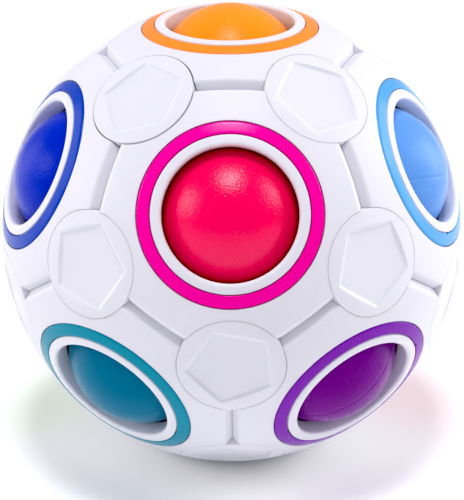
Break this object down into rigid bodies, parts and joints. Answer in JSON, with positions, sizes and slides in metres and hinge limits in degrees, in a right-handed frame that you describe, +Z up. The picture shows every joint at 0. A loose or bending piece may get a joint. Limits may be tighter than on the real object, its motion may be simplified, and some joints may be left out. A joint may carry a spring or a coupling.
{
  "type": "puzzle ball",
  "caption": "Hollow white ball of pentagonal panels with round windows that hold pressable coloured balls; an empty window lets a neighbouring ball be moved across inside.",
  "frame": {"origin": "on the resting surface, straight below the middle of the ball: the plane of the empty window's rim", "axes": "+Z up, through the middles of the empty window and the orange window opposite; -Y is the front, where the pink window is"},
  "size_m": [0.07, 0.0702, 0.0692],
  "materials": {
    "white_shell": "satin moulded white ABS",
    "white_caps": "satin moulded white ABS",
    "white_core": "satin moulded white ABS",
    "ring_orange": "gloss moulded ABS, orange",
    "ring_pink": "gloss moulded ABS, pink",
    "ring_light_blue": "gloss moulded ABS, light blue",
    "ring_yellow": "gloss moulded ABS, yellow",
    "ring_green": "gloss moulded ABS, green",
    "ring_dark_blue": "gloss moulded ABS, dark blue",
    "ring_purple": "gloss moulded ABS, purple",
    "ring_red": "gloss moulded ABS, red",
    "ring_lilac": "gloss moulded ABS, lilac",
    "ring_lime": "gloss moulded ABS, lime",
    "ring_teal": "gloss moulded ABS, teal",
    "ring_grey": "gloss moulded ABS, grey",
    "ball_orange": "satin moulded ABS, orange",
    "ball_pink": "satin moulded ABS, pink",
    "ball_light_blue": "satin moulded ABS, light blue",
    "ball_yellow": "satin moulded ABS, yellow",
    "ball_green": "satin moulded ABS, green",
    "ball_dark_blue": "satin moulded ABS, dark blue",
    "ball_purple": "satin moulded ABS, purple",
    "ball_red": "satin moulded ABS, red",
    "ball_lilac": "satin moulded ABS, lilac",
    "ball_lime": "satin moulded ABS, lime",
    "ball_teal": "satin moulded ABS, teal"
  },
  "bodies": {
    "shell": {"panel_orange": "white_shell", "panel_pink": "white_shell", "panel_light_blue": "white_shell", "panel_yellow": "white_shell", "panel_green": "white_shell", "panel_dark_blue": "white_shell", "panel_purple": "white_shell", "panel_red": "white_shell", "panel_lilac": "white_shell", "panel_lime": "white_shell", "panel_teal": "white_shell", "panel_grey": "white_shell", "ring_orange": "ring_orange", "ring_pink": "ring_pink", "ring_light_blue": "ring_light_blue", "ring_yellow": "ring_yellow", "ring_green": "ring_green", "ring_dark_blue": "ring_dark_blue", "ring_purple": "ring_purple", "ring_red": "ring_red", "ring_lilac": "ring_lilac", "ring_lime": "ring_lime", "ring_teal": "ring_teal", "ring_grey": "ring_grey", "cap_top_1": "white_caps", "cap_top_2": "white_caps", "cap_top_3": "white_caps", "cap_top_4": "white_caps", "cap_top_5": "white_caps", "cap_upper_1": "white_caps", "cap_upper_2": "white_caps", "cap_upper_3": "white_caps", "cap_upper_4": "white_caps", "cap_upper_5": "white_caps", "cap_lower_1": "white_caps", "cap_lower_2": "white_caps", "cap_lower_3": "white_caps", "cap_lower_4": "white_caps", "cap_lower_5": "white_caps", "cap_bottom_1": "white_caps", "cap_bottom_2": "white_caps", "cap_bottom_3": "white_caps", "cap_bottom_4": "white_caps", "cap_bottom_5": "white_caps"},
    "inner_ball": {"core_ball": "white_core"},
    "orange_ball": {"ball_orange": "ball_orange"},
    "pink_ball": {"ball_pink": "ball_pink"},
    "light_blue_ball": {"ball_light_blue": "ball_light_blue"},
    "yellow_ball": {"ball_yellow": "ball_yellow"},
    "green_ball": {"ball_green": "ball_green"},
    "dark_blue_ball": {"ball_dark_blue": "ball_dark_blue"},
    "purple_ball": {"ball_purple": "ball_purple"},
    "red_ball": {"ball_red": "ball_red"},
    "lime_ball": {"ball_lime": "ball_lime"},
    "teal_ball": {"ball_teal": "ball_teal"},
    "lilac_ball": {"ball_lilac": "ball_lilac"}
  },
  "joints": [
    {"name": "orange_press", "type": "slide", "parent": "shell", "child": "orange_ball", "axis": [0, 0, -1], "range_m": [0, 0.0036]},
    {"name": "pink_press", "type": "slide", "parent": "shell", "child": "pink_ball", "axis": [0, 0.8944, -0.4472], "range_m": [0, 0.0036]},
    {"name": "light_blue_press", "type": "slide", "parent": "shell", "child": "light_blue_ball", "axis": [-0.8507, 0.2764, -0.4472], "range_m": [0, 0.0036]},
    {"name": "yellow_press", "type": "slide", "parent": "shell", "child": "yellow_ball", "axis": [-0.5257, -0.7236, -0.4472], "range_m": [0, 0.0036]},
    {"name": "green_press", "type": "slide", "parent": "shell", "child": "green_ball", "axis": [0.5257, -0.7236, -0.4472], "range_m": [0, 0.0036]},
    {"name": "dark_blue_press", "type": "slide", "parent": "shell", "child": "dark_blue_ball", "axis": [0.8507, 0.2764, -0.4472], "range_m": [0, 0.0036]},
    {"name": "purple_press", "type": "slide", "parent": "shell", "child": "purple_ball", "axis": [-0.5257, 0.7236, 0.4472], "range_m": [0, 0.0036]},
    {"name": "red_press", "type": "slide", "parent": "shell", "child": "red_ball", "axis": [-0.8507, -0.2764, 0.4472], "range_m": [0, 0.0036]},
    {"name": "lime_press", "type": "slide", "parent": "shell", "child": "lime_ball", "axis": [0.8507, -0.2764, 0.4472], "range_m": [0, 0.0036]},
    {"name": "teal_press", "type": "slide", "parent": "shell", "child": "teal_ball", "axis": [0.5257, 0.7236, 0.4472], "range_m": [0, 0.0036]},
    {"name": "travel_to_empty_window", "type": "hinge", "parent": "shell", "child": "inner_ball", "pos_m": [0, 0, 0.03345], "axis": [-1, 0, 0], "range_deg": [0, 63.43]},
    {"name": "lilac_press", "type": "slide", "parent": "inner_ball", "child": "lilac_ball", "axis": [0, 0.8944, -0.4472], "range_m": [0, 0.00425]}
  ]
}
